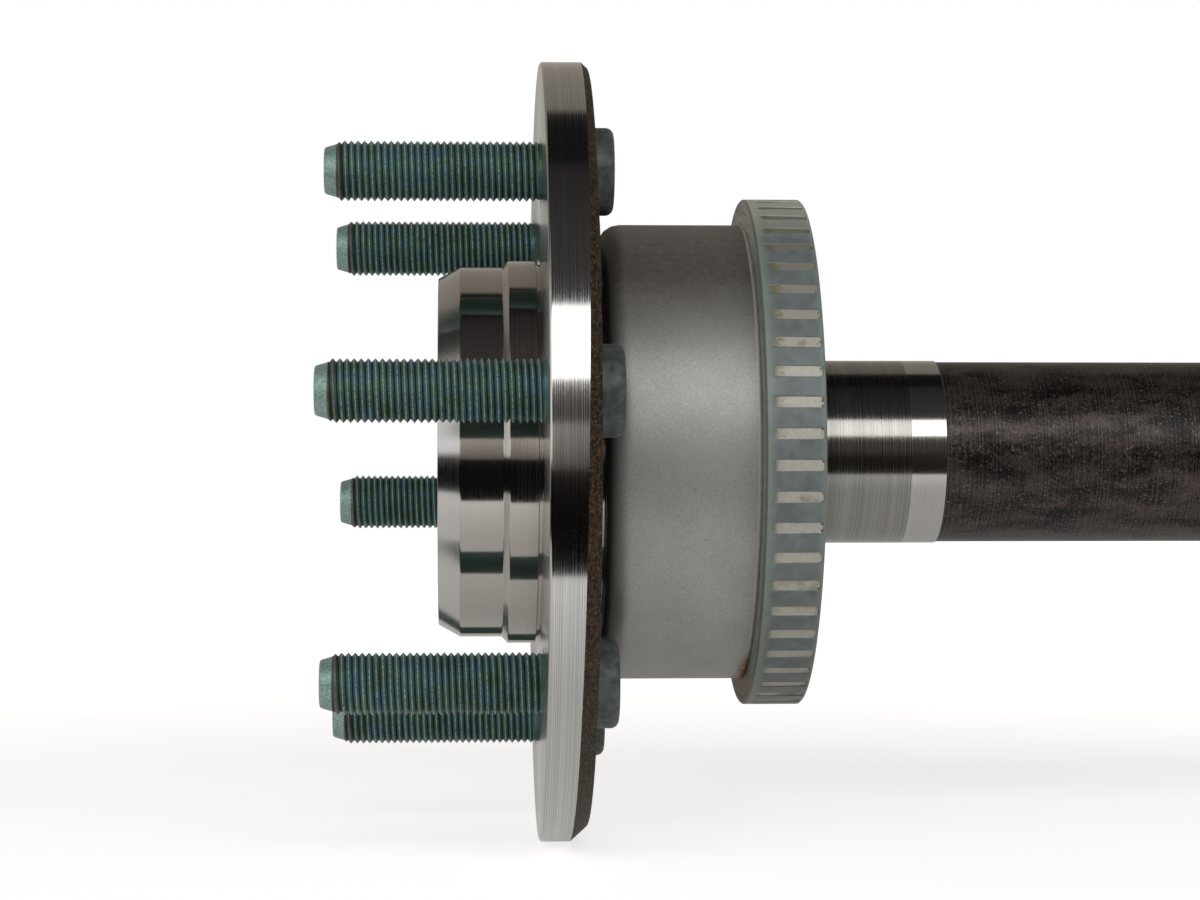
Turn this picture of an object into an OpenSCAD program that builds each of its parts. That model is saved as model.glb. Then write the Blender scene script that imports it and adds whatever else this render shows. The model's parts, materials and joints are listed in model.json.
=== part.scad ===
// Flanged rear axle shaft with pressed-in wheel studs and a tone ring on a drawn carrier.
// The axle lies along X. The origin is the centre of the flange's wheel face,
// the studs point to -X, the splined end points to +X, and angles are counted
// up from the horizontal on the -Y side.

/* [Flange] */
// Outside diameter of the turned flange
flange_d = 182; // [174:0.5:196]
// Thickness of the flange from its wheel face to its back
flange_t = 10.9; // [9:0.1:14]
// Chamfer round the wheel face
face_chamfer = 0.4; // [0.3:0.1:1.5]
// Axial width of the forged bevel round the back
bevel_w = 2.7; // [1.5:0.1:4]
// Slope of the forged bevel from the axle's axis
bevel_angle = 42; // [30:1:50]
// How far the forging sits above the turned axis
forge_shift = 1.1; // [0:0.1:1.4]
// Diameter of the hub step that the carrier seats against
hub_d = 88; // [80:0.5:92]
// Height of the hub step behind the flange
hub_step = 2.9; // [2:0.1:5]
// Radius of the forged fillet between the flange's back and the hub step
hub_fillet = 2; // [0.5:0.1:3]

/* [Pilot] */
// Diameter of the wheel pilot
pilot_d = 86.8; // [78:0.1:92]
// Length of both pilots from the wheel face
pilot_len = 23.4; // [18:0.1:30]
// Axial length of the lead-in on the wheel pilot
lead_in_len = 5.1; // [2:0.1:8]
// Radial height of the lead-in on the wheel pilot
lead_in_h = 2.8; // [1:0.1:4]
// Radial height of the rotor pilot over the wheel pilot
rotor_step = 1.5; // [0.5:0.1:3]
// Length of the rotor pilot from the wheel face
rotor_pilot_len = 7.3; // [5:0.1:10]
// Axial length of the ramp between the two pilots
pilot_ramp = 1.4; // [0.5:0.1:3]
// Size of the relief groove in the corner at the wheel face
relief = 0.9; // [0.3:0.1:1]
// Mouth diameter of the dish in the pilot's end
dish_d = 58; // [40:1:66]
// Depth of the dish
dish_h = 8; // [4:0.5:14]
// Diameter of the lathe centres at both ends
centre_d = 8; // [5:0.5:12]

/* [Wheel studs] */
// Number of studs
stud_count = 6; // [4:1:8]
// Diameter of the stud circle
stud_pcd = 135; // [130:0.5:140]
// Angle of the first stud above the horizontal
stud_phase = 11.1; // [0:0.1:60]
// Outside diameter of the stud's thread
stud_d = 13.8; // [12:0.1:15]
// How far the studs stand out of the wheel face
stud_reach = 49.1; // [35:0.1:60]
// Length of the lead cone at the stud's tip
stud_lead_len = 2.7; // [1:0.1:4]
// Diameter of the stud's tip
stud_tip_d = 10.6; // [8:0.1:11.5]
// Diameter of the press shank in the flange
shank_d = 15.2; // [15:0.1:17]
// Diameter of the stud's head
head_d = 20; // [18:0.1:24]
// Thickness of the stud's head
head_h = 5.6; // [4:0.1:8]
// Rounding of the head's back edge
head_round = 1.8; // [0.5:0.1:2.5]

/* [Tone ring carrier] */
// Sheet thickness of the drawn carrier
carrier_t = 2; // [1.2:0.1:3]
// Clearance between the stud heads and the carrier's wall
head_clear = 4.15; // [2:0.05:6]
// Length of the carrier from its floor to its open rim
carrier_len = 45.6; // [36:0.1:56]
// Outside radius of the carrier's drawn corner
carrier_round = 5; // [3.5:0.1:8]
// Diameter of the seat that the carrier is pressed on
seat_d = 70; // [64:0.5:76]
// Length of the carrier's collar on the seat
collar_len = 9; // [6:0.5:14]
// Radial step in the carrier's wall that the tone ring seats against
joggle_h = 1; // [0.5:0.1:1.5]

/* [Tone ring] */
// Axial width of the ring
ring_w = 13.3; // [11:0.1:18]
// Radial thickness of the ring
ring_t = 7.05; // [5:0.05:9]
// How far the ring stands past the carrier's rim
ring_overhang = 1.5; // [0.5:0.1:3]
// Chamfer on the ring's outer edges
ring_chamfer = 0.4; // [0.2:0.1:0.6]
// Number of signal pockets round the ring
pocket_count = 54; // [44:1:60]
// Width of a pocket round the ring
pocket_w = 2.5; // [1.8:0.1:3.5]
// Depth of a pocket at its round-cornered end
pocket_h = 0.4; // [0.3:0.05:1.5]
// Depth of a pocket at its square end
pocket_shallow = 0.15; // [0.1:0.05:0.3]
// Corner radius of a pocket's deep end
pocket_round = 0.7; // [0.3:0.1:0.9]
// Land between the pockets' square ends and the ring's edge
pocket_land = 1.9; // [1:0.1:3]
// Rim between the pockets' deep ends and the ring's open edge
pocket_rim = 0.6; // [0.6:0.1:2]
// Angle of the first pocket above the horizontal
pocket_phase = -2.8; // [-4:0.1:4]

/* [Shaft] */
// Length from the wheel face to the inner end
axle_len = 860; // [600:1:1000]
// Diameter of the bearing journal
journal_d = 43.1; // [40:0.1:50]
// Distance from the flange's back to the journal's inner end
journal_run = 82.6; // [70:0.1:110]
// Radial step from the journal down to the forged shaft
shaft_step = 0.3; // [0.15:0.05:1]
// Radius of the fillet between the seat and the journal
root_r = 8; // [4:0.5:10]
// Edge break on the carrier's seat
seat_chamfer = 1; // [0.5:0.1:1.5]

/* [Splined end] */
// Number of spline teeth
spline_count = 34; // [26:1:40]
// Outside diameter of the splines
spline_d = 38.1; // [36:0.1:39.5]
// Depth of the spline teeth
spline_h = 1.3; // [0.9:0.05:1.5]
// Length of the splines
spline_len = 58; // [40:1:80]
// Length of the slope at each end of the splines
spline_slope = 3; // [2:0.5:5]
// Length of the plain neck before the splines
neck_len = 14; // [8:1:30]
// Length of the taper from the shaft to the neck
neck_taper = 36; // [20:1:60]
// Width of the retaining clip's groove
groove_w = 6; // [4:0.1:8]
// Diameter at the bottom of the clip's groove
groove_d = 27; // [24:0.5:30]
// Length of the button outside the groove
button_len = 9; // [6:0.5:14]
// Edge break on the button
button_chamfer = 1.5; // [0.5:0.1:2.5]

/* [Hidden] */
// Steps in each quarter of a rounded edge
ARC_STEPS = 6;
// Fineness of the turned surfaces
TURN_FN = 96;
// Distance that a cutting shape stands past what it cuts
CUT = 1;
// Pressure angle of the spline teeth
PRESSURE_ANGLE = 30;
// Half of the point angle of a lathe centre
CENTRE_HALF_ANGLE = 30;
// Draft of the dish's wall
DISH_DRAFT = 12;
// Radial overlap between the splines and the core under them
CORE_BITE = 0.6;
// Largest share of the hub step's height that its fillet takes
FILLET_SHARE = 0.8;

STUD_NAMES = [for (k = [1:stud_count]) str("wheel_stud_", k)];

flange_r = flange_d / 2;
hub_r = hub_d / 2;
seat_r = seat_d / 2;
pilot_r = pilot_d / 2;
rotor_r = pilot_r + rotor_step;
journal_r = journal_d / 2;
shaft_r = journal_r - shaft_step;
centre_r = centre_d / 2;
centre_depth = centre_r / tan(CENTRE_HALF_ANGLE);

stud_circle_r = stud_pcd / 2;
carrier_r = stud_circle_r - head_d / 2 - head_clear;
carrier_x = flange_t + hub_step;
carrier_end = carrier_x + carrier_len;
seat_end = carrier_x + collar_len + seat_chamfer;
hub_fillet_r = min(hub_fillet, hub_step * FILLET_SHARE);
journal_end = flange_t + journal_run;

ring_seat_r = carrier_r - joggle_h;
ring_r = ring_seat_r + ring_t;
ring_end = carrier_end + ring_overhang;
ring_x = ring_end - ring_w;
pocket_len = ring_w - pocket_land - pocket_rim;
pocket_tilt = atan((pocket_h - pocket_shallow) / pocket_len);

spline_tip_r = spline_d / 2;
spline_root_r = spline_tip_r - spline_h;
spline_pitch_r = (spline_tip_r + spline_root_r) / 2;
tooth_half = PI * spline_pitch_r / (2 * spline_count);
neck_r = spline_root_r - CORE_BITE;
button_r = neck_r;
groove_r = groove_d / 2;
button_x = axle_len - button_len;
groove_x = button_x - groove_w;
spline_x = groove_x - spline_len;
neck_x = spline_x - neck_len;
taper_x = neck_x - neck_taper;

// Points of a quarter-round arc from angle a0 to a1 about [r, x]
function arc(r, x, radius, a0, a1) =
    [
        for (i = [0:ARC_STEPS])
            let (a = a0 + (a1 - a0) * i / ARC_STEPS)
                [r + radius * cos(a), x + radius * sin(a)]
    ];

// Half of a spline tooth's angle at radius r
function tooth_angle(r) = (tooth_half - (r - spline_pitch_r) * tan(PRESSURE_ANGLE)) / r * 180 / PI;

// Turns a [radius, distance along the axle] outline about the axle's axis
module turned(outline) {
    rotate([0, 90, 0])
        rotate_extrude($fn = TURN_FN)
            polygon(outline);
}

// Puts the children on the -Y side at a radius, turned up by an angle
module at_angle(angle, radius) {
    rotate([-angle, 0, 0])
        translate([0, -radius, 0])
            children();
}

// Outline of the dished pilot, from the axis to the wheel face
function pilot_outline() = [
    [0, dish_h + centre_depth - pilot_len],
    [centre_r, dish_h - pilot_len],
    [dish_d / 2 - dish_h * tan(DISH_DRAFT), dish_h - pilot_len],
    [dish_d / 2, -pilot_len],
    [pilot_r - lead_in_h, -pilot_len],
    [pilot_r, lead_in_len - pilot_len],
    [pilot_r, -rotor_pilot_len - pilot_ramp],
    [rotor_r, -rotor_pilot_len],
    [rotor_r, -relief],
    [rotor_r - relief, -relief],
    [rotor_r - relief, relief],
    [rotor_r + relief, 0]
];

// Outline of the flange, hub step and carrier seat, down to the journal
function flange_outline() = concat(
    [
        [flange_r - face_chamfer, 0],
        [flange_r, face_chamfer],
        [flange_r, flange_t]
    ],
    arc(hub_r + hub_fillet_r, flange_t + hub_fillet_r, hub_fillet_r, 270, 180),
    [
        [hub_r, carrier_x],
        [seat_r, carrier_x],
        [seat_r, seat_end - seat_chamfer],
        [seat_r - seat_chamfer, seat_end]
    ],
    arc(journal_r + root_r, seat_end + root_r, root_r, 270, 180)
);

// Outline of the journal, shaft, neck, clip groove and button, to the axis
function shaft_outline() = [
    [journal_r, journal_end],
    [shaft_r, journal_end + shaft_step],
    [shaft_r, taper_x],
    [neck_r, neck_x],
    [neck_r, groove_x],
    [groove_r, groove_x],
    [groove_r, button_x],
    [button_r, button_x],
    [button_r, axle_len - button_chamfer],
    [button_r - button_chamfer, axle_len],
    [centre_r, axle_len],
    [0, axle_len - centre_depth]
];

// Outside of the forging's back edge, which is cut away off the turned axis
module forged_bevel() {
    bevel_x = flange_t - bevel_w;
    slope = tan(bevel_angle);
    reach = bevel_w + CUT;
    translate([0, 0, forge_shift])
        turned([
            [flange_r + reach * slope, bevel_x - reach],
            [flange_r + reach * slope + CUT, bevel_x - reach],
            [flange_r + reach * slope + CUT, bevel_x + reach],
            [flange_r - reach * slope, bevel_x + reach]
        ]);
}

// Straight-flanked spline teeth with turned tips and sloped ends
module splines() {
    top_r = spline_tip_r + CUT;
    tooth = [[spline_root_r, -1], [top_r, -1], [top_r, 1], [spline_root_r, 1]];
    teeth = [
        for (i = [0:spline_count - 1])
            for (p = tooth)
                let (a = 360 * i / spline_count + p[1] * tooth_angle(min(p[0], spline_tip_r)))
                    [p[0] * cos(a), p[0] * sin(a)]
    ];
    intersection() {
        translate([spline_x, 0, 0])
            rotate([0, 90, 0])
                linear_extrude(height = spline_len)
                    polygon(teeth);
        turned([
            [0, spline_x],
            [neck_r, spline_x],
            [spline_tip_r, spline_x + spline_slope],
            [spline_tip_r, groove_x - spline_slope / 2],
            [neck_r, groove_x],
            [0, groove_x]
        ]);
    }
}

// One forged axle: pilot, flange, seat, journal, shaft and splined end
module axle_shaft() {
    color([0.50, 0.48, 0.45]) {
        difference() {
            turned(concat(pilot_outline(), flange_outline(), shaft_outline()));
            forged_bevel();
            for (k = [1:stud_count])
                at_angle(stud_phase + 360 * (k - 1) / stud_count, stud_circle_r)
                    translate([-CUT, 0, 0])
                        rotate([0, 90, 0])
                            cylinder(d = shank_d, h = flange_t + 2 * CUT, $fn = TURN_FN);
        }
        splines();
    }
}

// Deep-drawn cup with a collar that is pressed on the axle's seat and a stepped open end
module tone_ring_carrier() {
    inner_round = carrier_round - carrier_t;
    inner_r = carrier_r - carrier_t;
    collar_r = seat_r + carrier_t;
    floor_x = carrier_x + carrier_t;
    color([0.60, 0.60, 0.58])
        turned(concat(
            [[seat_r, carrier_x + collar_len], [seat_r, carrier_x]],
            arc(carrier_r - carrier_round, carrier_x + carrier_round, carrier_round, 270, 360),
            arc(ring_seat_r, ring_x - joggle_h, joggle_h, 0, 90),
            [
                [ring_seat_r, carrier_end],
                [inner_r - joggle_h, carrier_end],
                [inner_r - joggle_h, ring_x],
                [inner_r, ring_x - joggle_h]
            ],
            arc(carrier_r - carrier_round, carrier_x + carrier_round, inner_round, 360, 270),
            [[collar_r, floor_x], [collar_r, carrier_x + collar_len]]
        ));
}

// Cutter for one signal pocket at the ring's surface: square and shallow at one end,
// deeper with round corners at the other
module pocket_cutter() {
    inset = pocket_w / 2 - pocket_round;
    straight = pocket_len - pocket_round;
    height = pocket_h + CUT;
    translate([ring_x + pocket_land, pocket_shallow, 0])
        rotate([90, 0, pocket_tilt]) {
            translate([0, -pocket_w / 2, 0])
                cube([straight, pocket_w, height]);
            translate([0, -inset, 0])
                cube([pocket_len, 2 * inset, height]);
            for (y = [-inset, inset])
                translate([straight, y, 0])
                    cylinder(r = pocket_round, h = height, $fn = TURN_FN);
        }
}

// Signal ring pressed on the carrier's open end
module tone_ring() {
    color([0.42, 0.46, 0.44])
        difference() {
            turned([
                [ring_seat_r, ring_x],
                [ring_r - ring_chamfer, ring_x],
                [ring_r, ring_x + ring_chamfer],
                [ring_r, ring_end - ring_chamfer],
                [ring_r - ring_chamfer, ring_end],
                [ring_seat_r, ring_end]
            ]);
            for (i = [0:pocket_count - 1])
                at_angle(pocket_phase + 360 * i / pocket_count, ring_r)
                    pocket_cutter();
        }
}

// Wheel stud pressed through the flange from behind, with a round-backed head
module wheel_stud(k) {
    stud_r = stud_d / 2;
    head_r = head_d / 2;
    head_x = flange_t + head_h;
    color([0.20, 0.31, 0.29])
        at_angle(stud_phase + 360 * (k - 1) / stud_count, stud_circle_r)
            turned(concat(
                [
                    [0, -stud_reach],
                    [stud_tip_d / 2, -stud_reach],
                    [stud_r, stud_lead_len - stud_reach],
                    [stud_r, 0],
                    [shank_d / 2, 0],
                    [shank_d / 2, flange_t],
                    [head_r, flange_t]
                ],
                arc(head_r - head_round, head_x - head_round, head_round, 0, 90),
                [[0, head_x]]
            ));
}

axle_shaft();
tone_ring_carrier();
tone_ring();
for (k = [1:stud_count])
    wheel_stud(k);
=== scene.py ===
# %% [markdown]
# # A flanged axle shaft in a small studio
#
# The object is a driven axle: a forged steel bar with a turned flange on its outer end, six
# pressed-in wheel studs, and behind the flange a drawn sheet-metal cup that carries a signal
# ring. The frame below is the measured model. Every piece made here is a finer, dressed copy
# of one of its solids, in the same place and at the same size.

# %% Load the frame
import json
import math

import bmesh
import bpy
from mathutils import Matrix, Vector


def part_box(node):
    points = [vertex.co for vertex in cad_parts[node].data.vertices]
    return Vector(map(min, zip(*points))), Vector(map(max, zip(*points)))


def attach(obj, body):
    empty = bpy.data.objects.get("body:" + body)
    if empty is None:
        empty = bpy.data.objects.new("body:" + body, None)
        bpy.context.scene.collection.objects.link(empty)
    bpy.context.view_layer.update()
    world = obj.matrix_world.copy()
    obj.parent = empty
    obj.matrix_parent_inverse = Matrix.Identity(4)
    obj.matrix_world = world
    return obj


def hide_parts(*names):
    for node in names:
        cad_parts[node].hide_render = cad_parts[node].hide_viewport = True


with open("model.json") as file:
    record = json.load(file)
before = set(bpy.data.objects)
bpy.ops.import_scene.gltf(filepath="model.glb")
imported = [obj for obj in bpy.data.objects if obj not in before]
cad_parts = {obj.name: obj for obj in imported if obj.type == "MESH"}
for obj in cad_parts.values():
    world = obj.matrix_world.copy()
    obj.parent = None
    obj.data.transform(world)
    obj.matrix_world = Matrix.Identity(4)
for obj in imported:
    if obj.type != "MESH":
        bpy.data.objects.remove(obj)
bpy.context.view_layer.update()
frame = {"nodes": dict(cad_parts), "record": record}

MM = 0.001
scene = bpy.context.scene
scene.view_settings.view_transform = "Standard"
print("pieces in the frame:", sorted(frame["nodes"]))


# %% [markdown]
# ## Reading sizes off the frame
#
# A dressed piece must not change a size, so the sizes come from the solids themselves: their
# boxes, and the mounts in the record, which state the radii that other parts depend on. Work
# is done in millimetres, as on a workshop drawing, and turned into metres at the last moment.

# %% Sizes from the frame
def box_mm(name):
    """Lowest and highest corner of a solid, in millimetres."""
    low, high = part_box(name)
    return Vector(low) / MM, Vector(high) / MM


def mount_mm(name, key):
    """A length that the record states for a mount, in millimetres."""
    return next(m for m in frame["record"]["mounts"] if m["name"] == name)["dims"][key]


axle_low, axle_high = box_mm("axle_shaft")
cup_low, cup_high = box_mm("tone_ring_carrier")
ring_low, ring_high = box_mm("tone_ring")
stud_low, stud_high = box_mm("wheel_stud_1")
flange_r, cup_r, ring_r = [max(high.y, high.z) for high in (axle_high, cup_high, ring_high)]
pilot_r = mount_mm("hub_pilot", "r_mm")
rotor_r = mount_mm("rotor_pilot", "r_mm")
journal_r = mount_mm("bearing_journal", "r_mm")
print(f"flange radius {flange_r:.2f} mm, cup {cup_r:.2f} mm, ring {ring_r:.2f} mm")


# %% [markdown]
# ## Three small helpers
#
# Every node tree in this lesson, for shading or for geometry, is wired by one function that
# adds a node, sets its values and links its inputs. A list of inputs fills the node's live
# sockets in their order, and a dictionary names them. Where a whole node is given as an input,
# its first live output is meant. Colours are written as sRGB hex values, as a colour picker
# shows them, and Blender's sockets want linear light, so a second function converts. The third
# lays colours over each other, as a painter lays coats through stencils.

# %% Node and colour helpers
def linear(code):
    """An sRGB hex colour as linear red, green, blue and alpha."""
    parts = [int(code[i:i + 2], 16) / 255 for i in (1, 3, 5)]
    bent = [c / 12.92 if c <= 0.04045 else ((c + 0.055) / 1.055) ** 2.4 for c in parts]
    return (*bent, 1.0)


def node(tree, kind, inputs=(), **settings):
    """Adds a node. An input is a value, a hex colour, an output, a node, or a list of those."""
    made = tree.nodes.new(kind)
    for name, value in settings.items():
        setattr(made, name, value)
    live = [socket for socket in made.inputs if socket.enabled]
    for key, value in inputs.items() if isinstance(inputs, dict) else enumerate(inputs):
        socket = live[key] if isinstance(key, int) else made.inputs[key]
        for item in value if isinstance(value, list) else [value]:
            if isinstance(item, bpy.types.Node):
                item = next(output for output in item.outputs if output.enabled)
            if isinstance(item, bpy.types.NodeSocket):
                tree.links.new(item, socket)
            else:
                is_colour = isinstance(item, str) and item.startswith("#")
                socket.default_value = linear(item) if is_colour else item
    return made


def coats(tree, ground, layers):
    """Lays colours over a ground, one after another, each through its own mask."""
    for mask, colour in layers:
        ground = node(tree, "ShaderNodeMix", [mask, ground, colour], data_type="RGBA")
    return ground


print("mid grey in linear light:", round(linear("#808080")[0], 3))


# %% [markdown]
# ## The camera
#
# The view is almost square on to the axle, from close by, which is why the far rim of the
# flange shows to the left of its near rim. The lens is given by its focal length in pixels of
# a 1200 pixel wide picture, and the camera is turned a little towards the shaft.

# %% Camera
PICTURE_W = 1200
FOCAL_PX = 2857
CAMERA_AT = (-18.2, -673.0, 0.42)
CAMERA_YAW = 2.79
SENSOR_W = 36
NEAREST = 0.01

camera_data = bpy.data.cameras.new("Camera")
camera_data.sensor_width = SENSOR_W
camera_data.lens = FOCAL_PX / PICTURE_W * SENSOR_W
camera_data.clip_start = NEAREST
camera = bpy.data.objects.new("Camera", camera_data)
camera.location = Vector(CAMERA_AT) * MM
camera.rotation_euler = (math.radians(90), 0, math.radians(-CAMERA_YAW))
scene.collection.objects.link(camera)
scene.camera = camera
print(f"lens {camera_data.lens:.2f} mm")


# %% [markdown]
# ## Studio: a pale table, a softbox and a dim room
#
# Bare turned steel has hardly any colour of its own. What it shows is the room, bent into
# bands by the round shape, so the room matters more than the paint. The room is light grey
# behind the object, bright on the left, and dark in front and above. Its brightness follows
# the angle round the axle's own axis, because that is the angle that a lengthwise cylinder
# mirrors. Faces that lean to the left mirror the left end of the room, so it has bands of its
# own, with a white wall square on. To the camera alone the room is white.

# %% Room colours
ROOM = [
    (-180, "#b5b2ad"), (-90, "#8a8884"), (-30, "#3a3735"), (-6, "#1c1a19"), (-2, "#3f3a36"),
    (8, "#47423e"), (14, "#544f4b"), (19, "#76716b"), (23, "#504e4c"), (30, "#454342"),
    (65, "#3f3d3d"), (89, "#312f2f"), (91, "#1a1a1b"), (114, "#1a1a1b"), (117, "#8a857e"),
    (150, "#968f87"), (180, "#b5b2ad"),
]
LEFT_ROOM = [
    (-180, "#c8c6c1"), (-90, "#b0aeaa"), (-32, "#8a8782"), (-28, "#1c1a19"), (-5, "#1c1a19"),
    (1, "#ffffff"), (72, "#efede9"), (80, "#8a8783"), (86, "#454341"), (106, "#363433"),
    (117, "#6a6661"), (127, "#9a958e"), (142, "#b3aea6"), (180, "#d2d0cc"),
]
RIGHT_WALL, WHITE = "#a5a29d", "#ffffff"
print("room bands:", len(ROOM), "in front and behind,", len(LEFT_ROOM), "on the left")


# %% [markdown]
# A colour ramp turns the angle into bands. The ends of the room are laid over them through masks
# that grow towards the left or the right, and white comes last, for the camera's own rays.

# %% World
ALONG, ACROSS, UP = range(3)
LEFT_END, RIGHT_END = (-0.45, -0.8), (0.6, 0.95)
SQUARE_ON, WALL_TOP = (-0.84, -0.9), (0.42, 0.36)


def round_bands(tree, share, stops):
    """A colour ramp over the angle round the axle, from (degrees, hex) stops from -180 to 180."""
    bands = node(tree, "ShaderNodeValToRGB", [share])
    places = bands.color_ramp.elements
    for degrees, _ in stops[1:-1]:
        places.new(0.5 + degrees / 360)
    for stop, (_, code) in zip(places, stops):
        stop.color = linear(code)
    return bands


world = bpy.data.worlds.new("Dim studio room")
scene.world = world
world.use_nodes = True
tree = world.node_tree
tree.nodes.clear()
look = node(tree, "ShaderNodeTexCoord").outputs["Generated"]
axes = node(tree, "ShaderNodeSeparateXYZ", [look]).outputs
front = node(tree, "ShaderNodeMath", [axes[ACROSS], -1.0], operation="MULTIPLY")
angle = node(tree, "ShaderNodeMath", [axes[UP], front], operation="ARCTAN2")
share = node(tree, "ShaderNodeMapRange", [angle, -math.pi, math.pi])
leftward, rightward, square_on = [
    node(tree, "ShaderNodeMapRange", [axes[ALONG], *reach]) for reach in (LEFT_END, RIGHT_END, SQUARE_ON)]
lit_wall = node(tree, "ShaderNodeMapRange", [axes[UP], *WALL_TOP, 0.0, square_on])
seen = node(tree, "ShaderNodeLightPath").outputs["Is Camera Ray"]
room = coats(tree, round_bands(tree, share, ROOM), [
    (leftward, round_bands(tree, share, LEFT_ROOM)),
    (rightward, RIGHT_WALL),
    (lit_wall, WHITE),
    (seen, WHITE),
])
paper = node(tree, "ShaderNodeBackground", {"Color": room})
node(tree, "ShaderNodeOutputWorld", {"Surface": paper})
print("room tree has", len(tree.nodes), "nodes")


# %% [markdown]
# The table is a pale plane under the flange. It gets a little light of its own for the camera,
# more of it further out, so that it comes out as white as the room behind it and keeps a soft
# shadow near the object, and a little for reflections, so that the steel shows it pale too, most
# of all towards its front edge. Its material, like all that follow, starts with an empty tree
# and the object's own coordinates, which stay put when the camera moves.

# %% Table paint
TABLE_WHITE = "#eae8e5"
CAMERA_LIFT, LIFT_REACH = (0.68, 0.98), (0.2, 0.75)
MIRROR_LIFT, FRONT_REACH = (0.28, 0.52), (-0.09, -0.165)


def fresh(name):
    """A material with an empty tree. Returns it, its tree and the object's own coordinates."""
    material = bpy.data.materials.new(name)
    material.use_nodes = True
    tree = material.node_tree
    tree.nodes.clear()
    return material, tree, node(tree, "ShaderNodeTexCoord").outputs["Object"]


def shade(material, kind, sockets):
    """Ends a material's tree in a shader with these sockets, and returns the material."""
    shader = node(material.node_tree, kind, sockets)
    node(material.node_tree, "ShaderNodeOutputMaterial", {"Surface": shader})
    return material


table_paint, tree, spot = fresh("Matt white table")
rays = node(tree, "ShaderNodeLightPath").outputs
reach = node(tree, "ShaderNodeVectorMath", [spot], operation="LENGTH")
far = node(tree, "ShaderNodeMapRange", [reach, *LIFT_REACH, *CAMERA_LIFT])
lift = node(tree, "ShaderNodeMath", [rays["Is Camera Ray"], far], operation="MULTIPLY")
depth = node(tree, "ShaderNodeSeparateXYZ", [spot]).outputs[ACROSS]
near = node(tree, "ShaderNodeMapRange", [depth, *FRONT_REACH, *MIRROR_LIFT])
lift = node(tree, "ShaderNodeMath", [rays["Is Glossy Ray"], near, lift], operation="MULTIPLY_ADD")
glow = node(tree, "ShaderNodeEmission", {"Strength": lift})
matt = node(tree, "ShaderNodeBsdfDiffuse", {"Color": TABLE_WHITE})
shade(table_paint, "ShaderNodeAddShader", [matt, glow])
print("table paint has", len(tree.nodes), "nodes")


# %% [markdown]
# The table itself is one flat sheet. A sheet that the camera doesn't see shows in reflections
# alone.

# %% Table
TABLE_HALF = 3.0
table_z = axle_low.z * MM


def stage_sheet(name, corners, paint, camera_sees):
    """A flat sheet of the set through corners in metres."""
    mesh = bpy.data.meshes.new(name)
    mesh.from_pydata(corners, [], [tuple(range(len(corners)))])
    mesh.materials.append(paint)
    sheet = bpy.data.objects.new(name, mesh)
    sheet.visible_camera = camera_sees
    sheet.visible_diffuse = camera_sees
    sheet.visible_shadow = camera_sees
    scene.collection.objects.link(sheet)


table_rim = [(x * TABLE_HALF, y * TABLE_HALF) for x, y in ((-1, -1), (1, -1), (1, 1), (-1, 1))]
stage_sheet("table", [(x, y, table_z) for x, y in table_rim], table_paint, camera_sees=True)
print(f"table at {table_z / MM:.1f} mm")


# %% [markdown]
# Two cards help the set, both out of the camera's sight. A dark card covers the table two
# hands' width in front of the axle and at its left end, where a real table would stop: it draws
# the dark band along each turned cylinder, and it is a shade lighter towards the shaft. A pale
# card beside the camera, fading downwards, draws the faint band above it on the pilots.

# %% Cards
CARD_LIFT = 0.0006
DARK_FADE = (0.04, 0.2)
TABLE_EDGE = [
    (TABLE_HALF, -0.18), (-0.17, -0.18), (-0.24, -0.15), (-0.4, 0.0), (-0.46, 0.25), (-TABLE_HALF, 0.25)]
PALE_Y, PALE_X, PALE_Z = -0.78, (-0.7, 0.017), (-0.06, 0.105)


def lit_card(name, axis, reach, low_code, high_code):
    """A glowing paint that fades between two colours along an axis, over a reach in metres."""
    paint, tree, place = fresh(name)
    spot = node(tree, "ShaderNodeSeparateXYZ", [place]).outputs[axis]
    share = node(tree, "ShaderNodeMapRange", [spot, *reach])
    return shade(paint, "ShaderNodeEmission", {"Color": coats(tree, low_code, [(share, high_code)])})


dark_paint = lit_card("Dark card", ALONG, DARK_FADE, "#0c0b0a", "#3a322f")
dark_rim = TABLE_EDGE + [(-TABLE_HALF, -TABLE_HALF), (TABLE_HALF, -TABLE_HALF)]
stage_sheet("dark_card", [(x, y, table_z + CARD_LIFT) for x, y in dark_rim], dark_paint, camera_sees=False)

pale_paint = lit_card("Pale card", UP, PALE_Z, "#8a8580", "#e6e2dc")
(left, right), (bottom, top) = PALE_X, PALE_Z
pale_rim = [(left, bottom), (right, bottom), (right, top), (left, top)]
stage_sheet("pale_card", [(x, PALE_Y, z) for x, z in pale_rim], pale_paint, camera_sees=False)
print(f"dark card of {len(dark_rim)} corners, pale card {right - left:.2f} m wide")


# %% [markdown]
# A softbox is a lamp behind a white cloth, and an area lamp is the same thing. It hangs over
# the camera, faces the axle and draws the broad bright band along each cylinder.

# %% Softbox
SOFTBOX_AT = (0.25, -0.91, 0.52)
SOFTBOX_W, SOFTBOX_H = 2.4, 0.385
SOFTBOX_WATTS = 7.2

lamp = bpy.data.lights.new("Softbox", "AREA")
lamp.shape = "RECTANGLE"
lamp.size = SOFTBOX_W
lamp.size_y = SOFTBOX_H
lamp.energy = SOFTBOX_WATTS
softbox = bpy.data.objects.new("Softbox", lamp)
softbox.location = SOFTBOX_AT
softbox.rotation_euler = (math.atan2(-SOFTBOX_AT[1], SOFTBOX_AT[2]), 0, 0)
softbox.visible_camera = False
scene.collection.objects.link(softbox)
print(f"softbox {SOFTBOX_WATTS} W over {SOFTBOX_W * SOFTBOX_H:.2f} square metres")


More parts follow.
